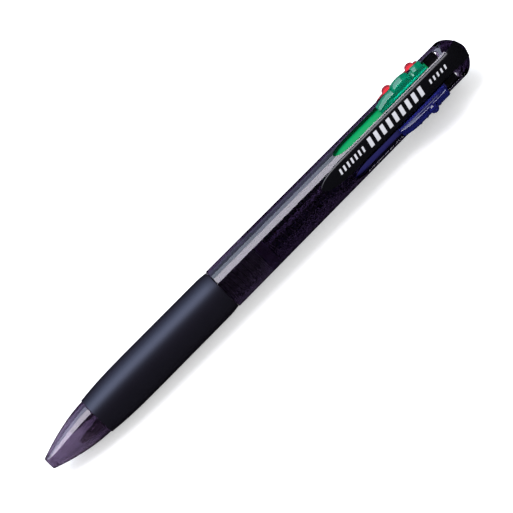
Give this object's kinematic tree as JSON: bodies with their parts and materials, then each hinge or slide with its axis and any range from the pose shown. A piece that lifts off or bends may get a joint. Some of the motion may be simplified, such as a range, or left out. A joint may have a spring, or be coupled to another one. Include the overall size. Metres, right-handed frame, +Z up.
{
  "type": "multicolour ballpoint pen",
  "caption": "Slide-action ballpoint pen with a rubber grip, a translucent barrel, a pocket clip and a touch-shaped knob for each colour.",
  "frame": {"origin": "bottom centre of the bounding box, on the table that the pen lies on", "axes": "+X along the pen from the writing tip to the domed end, with the nose 1.4 degrees down; +Z up; the flat front strip faces -Y and up"},
  "size_m": [0.143, 0.017, 0.0167],
  "materials": {
    "nose_plastic": "clear smoke, polished",
    "barrel_plastic": "dark translucent smoke, polished",
    "grip_rubber": "matte soft touch",
    "seat_plastic": "natural moulded",
    "core_plastic": "satin",
    "spring_steel": "drawn wire",
    "point_metal": "nickel plated",
    "ball_metal": "polished",
    "black_slider_plastic": "opaque moulded",
    "black_knob_plastic": "translucent, polished",
    "black_tube_plastic": "ink-filled tube",
    "red_slider_plastic": "opaque moulded",
    "red_knob_plastic": "translucent, polished",
    "red_tube_plastic": "ink-filled tube",
    "green_slider_plastic": "opaque moulded",
    "green_knob_plastic": "translucent, polished",
    "green_tube_plastic": "ink-filled tube",
    "blue_slider_plastic": "opaque moulded",
    "blue_knob_plastic": "translucent, polished",
    "blue_tube_plastic": "ink-filled tube"
  },
  "bodies": {
    "root": {"front_barrel": "nose_plastic", "rubber_grip": "grip_rubber", "rear_barrel": "barrel_plastic", "clip": "barrel_plastic", "spring_seat": "seat_plastic", "selector_core": "core_plastic", "black_spring": "spring_steel", "red_spring": "spring_steel", "green_spring": "spring_steel", "blue_spring": "spring_steel"},
    "black_slide_body": {"black_slider": "black_slider_plastic", "black_knob": "black_knob_plastic", "black_refill_tube": "black_tube_plastic"},
    "black_point_body": {"black_refill_point": "point_metal", "black_ball": "ball_metal"},
    "red_slide_body": {"red_slider": "red_slider_plastic", "red_knob": "red_knob_plastic", "red_refill_tube": "red_tube_plastic"},
    "red_point_body": {"red_refill_point": "point_metal", "red_ball": "ball_metal"},
    "green_slide_body": {"green_slider": "green_slider_plastic", "green_knob": "green_knob_plastic", "green_refill_tube": "green_tube_plastic"},
    "green_point_body": {"green_refill_point": "point_metal", "green_ball": "ball_metal"},
    "blue_slide_body": {"blue_slider": "blue_slider_plastic", "blue_knob": "blue_knob_plastic", "blue_refill_tube": "blue_tube_plastic"},
    "blue_point_body": {"blue_refill_point": "point_metal", "blue_ball": "ball_metal"}
  },
  "joints": [
    {"name": "black_slide", "type": "slide", "parent": "root", "child": "black_slide_body", "axis": [-0.9997, 0, -0.0246], "range_m": [0, 0.012], "stiffness_N_per_m": 100, "springref_m": -0.004, "deforming": ["black_spring", "black_refill_tube"]},
    {"name": "black_steer", "type": "slide", "parent": "black_slide_body", "child": "black_point_body", "axis": [-0.0246, 0.0419, 0.9988], "range_m": [0, 0.0026]},
    {"name": "red_slide", "type": "slide", "parent": "root", "child": "red_slide_body", "axis": [-0.9997, 0, -0.0246], "range_m": [0, 0.012], "stiffness_N_per_m": 100, "springref_m": -0.004, "deforming": ["red_spring", "red_refill_tube", "red_refill_point", "red_ball"]},
    {"name": "red_steer", "type": "slide", "parent": "red_slide_body", "child": "red_point_body", "axis": [-0.001, -0.9991, 0.0419], "range_m": [0, 0.0026]},
    {"name": "green_slide", "type": "slide", "parent": "root", "child": "green_slide_body", "axis": [-0.9997, 0, -0.0246], "range_m": [0, 0.012], "stiffness_N_per_m": 100, "springref_m": -0.004, "deforming": ["green_spring", "green_refill_tube", "green_refill_point", "green_ball"]},
    {"name": "green_steer", "type": "slide", "parent": "green_slide_body", "child": "green_point_body", "axis": [0.0246, -0.0419, -0.9988], "range_m": [0, 0.0026]},
    {"name": "blue_slide", "type": "slide", "parent": "root", "child": "blue_slide_body", "axis": [-0.9997, 0, -0.0246], "range_m": [0, 0.012], "stiffness_N_per_m": 100, "springref_m": -0.004, "deforming": ["blue_spring", "blue_refill_tube", "blue_refill_point", "blue_ball"]},
    {"name": "blue_steer", "type": "slide", "parent": "blue_slide_body", "child": "blue_point_body", "axis": [0.001, 0.9991, -0.0419], "range_m": [0, 0.0026]}
  ],
  "couplings": [
    {"joint": "black_steer", "follows": "black_slide", "ratio": 0.20836},
    {"joint": "red_steer", "follows": "red_slide", "ratio": 0.20836},
    {"joint": "green_steer", "follows": "green_slide", "ratio": 0.20836},
    {"joint": "blue_steer", "follows": "blue_slide", "ratio": 0.20836}
  ]
}
